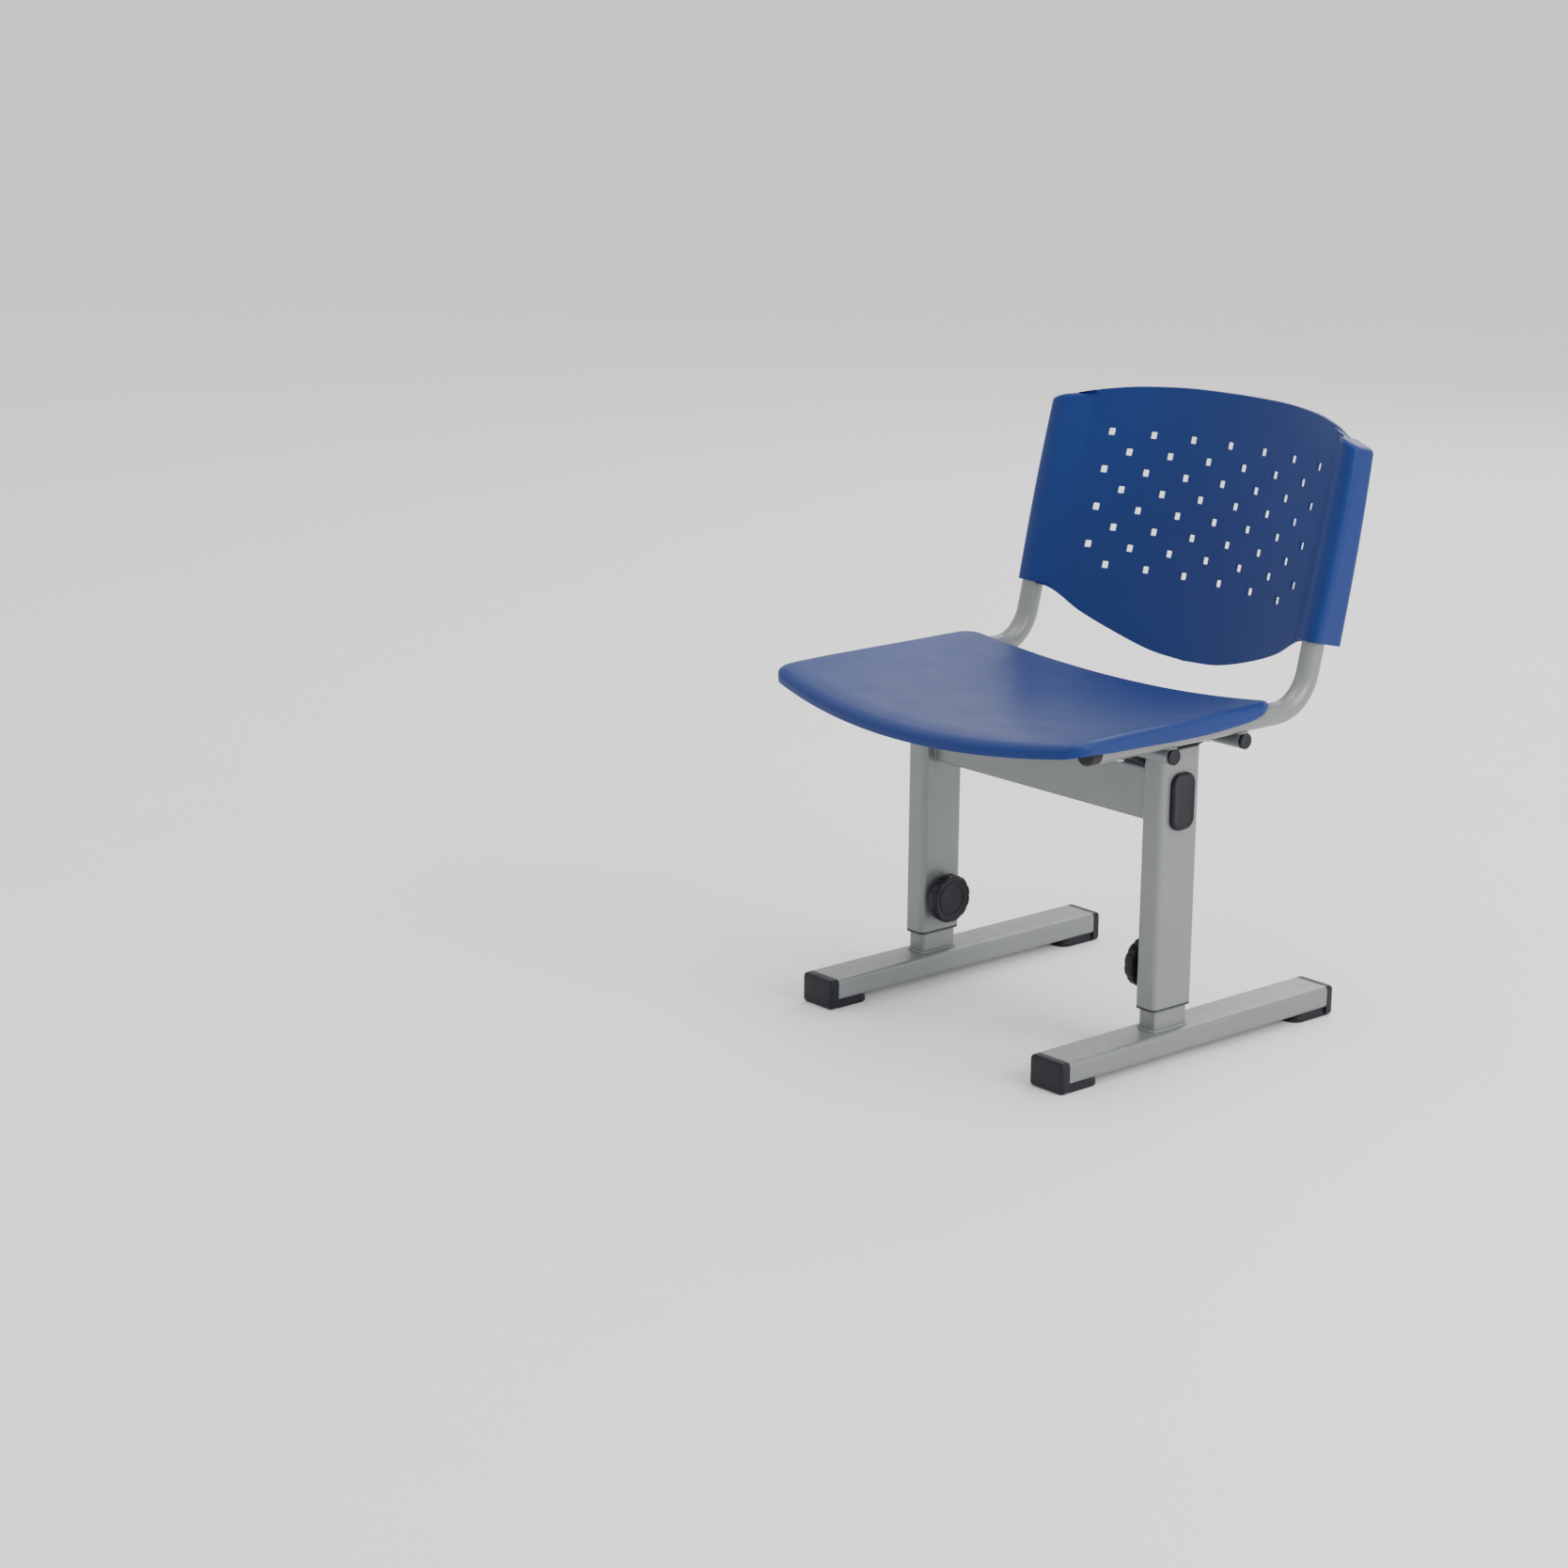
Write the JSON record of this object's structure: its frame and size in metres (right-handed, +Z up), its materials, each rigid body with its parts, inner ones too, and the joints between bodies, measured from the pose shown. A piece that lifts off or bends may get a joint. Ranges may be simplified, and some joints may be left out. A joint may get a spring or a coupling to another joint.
{
  "type": "student desk chair",
  "caption": "Height-adjustable school chair: two telescoping columns with clamp knobs, tube frame, dished plastic seat and perforated curved backrest.",
  "frame": {"origin": "on the floor, at the centre of the chair's bounding box seen from above, in the mid-plane between the two columns", "axes": "+Z up, +Y towards the backrest so the sitter faces -Y, node names say left for the -X side and right for the +X side"},
  "size_m": [0.48, 0.5281, 0.677],
  "materials": {
    "silver_paint": "silver-grey powder coat, semi-matte",
    "black_paint": "black powder coat, matte",
    "blue_plastic": "injection-moulded, satin with a fine grain",
    "black_plastic": "moulded, satin",
    "guide_plastic": "moulded nylon, dull",
    "zinc_steel": "zinc plated"
  },
  "bodies": {
    "left_leg": {"left_foot_tube": "silver_paint", "left_inner_column": "silver_paint", "left_column_guide": "guide_plastic", "left_front_foot_cap": "black_plastic", "left_rear_foot_cap": "black_plastic"},
    "upper_frame": {"left_outer_column": "silver_paint", "left_column_bushing": "guide_plastic", "left_column_plug": "black_plastic", "left_bolt_cover": "black_plastic", "left_seat_bracket": "black_paint", "left_rail": "silver_paint", "left_clamp_nut_plate": "zinc_steel", "right_outer_column": "silver_paint", "right_column_bushing": "guide_plastic", "right_column_plug": "black_plastic", "right_bolt_cover": "black_plastic", "right_seat_bracket": "black_paint", "right_rail": "silver_paint", "right_clamp_nut_plate": "zinc_steel", "crossbeam": "silver_paint", "beam_bolts": "zinc_steel", "front_cross_tube": "silver_paint", "rear_cross_tube": "silver_paint", "cross_tube_plugs": "black_plastic", "rail_plugs": "black_plastic", "seat_shell": "blue_plastic", "seat_screws": "zinc_steel", "backrest_shell": "blue_plastic", "backrest_screws": "zinc_steel"},
    "right_leg": {"right_foot_tube": "silver_paint", "right_inner_column": "silver_paint", "right_column_guide": "guide_plastic", "right_front_foot_cap": "black_plastic", "right_rear_foot_cap": "black_plastic"},
    "left_knob": {"left_clamp_knob": "black_plastic", "left_clamp_stud": "zinc_steel"},
    "right_knob": {"right_clamp_knob": "black_plastic", "right_clamp_stud": "zinc_steel"}
  },
  "joints": [
    {"name": "seat_height", "type": "slide", "parent": "left_leg", "child": "upper_frame", "axis": [0, 0, 1], "range_m": [0, 0.08]},
    {"name": "right_leg_slide", "type": "slide", "parent": "upper_frame", "child": "right_leg", "axis": [0, 0, 1], "range_m": [-0.08, 0]},
    {"name": "left_knob_turn", "type": "hinge", "parent": "upper_frame", "child": "left_knob", "pos_m": [-0.1585, -0.0325, 0.101], "axis": [1, 0, 0], "range_deg": [0, 540]},
    {"name": "right_knob_turn", "type": "hinge", "parent": "upper_frame", "child": "right_knob", "pos_m": [0.1585, -0.0325, 0.101], "axis": [-1, 0, 0], "range_deg": [0, 540]}
  ],
  "couplings": [
    {"joint": "right_leg_slide", "follows": "seat_height", "ratio": -1}
  ]
}
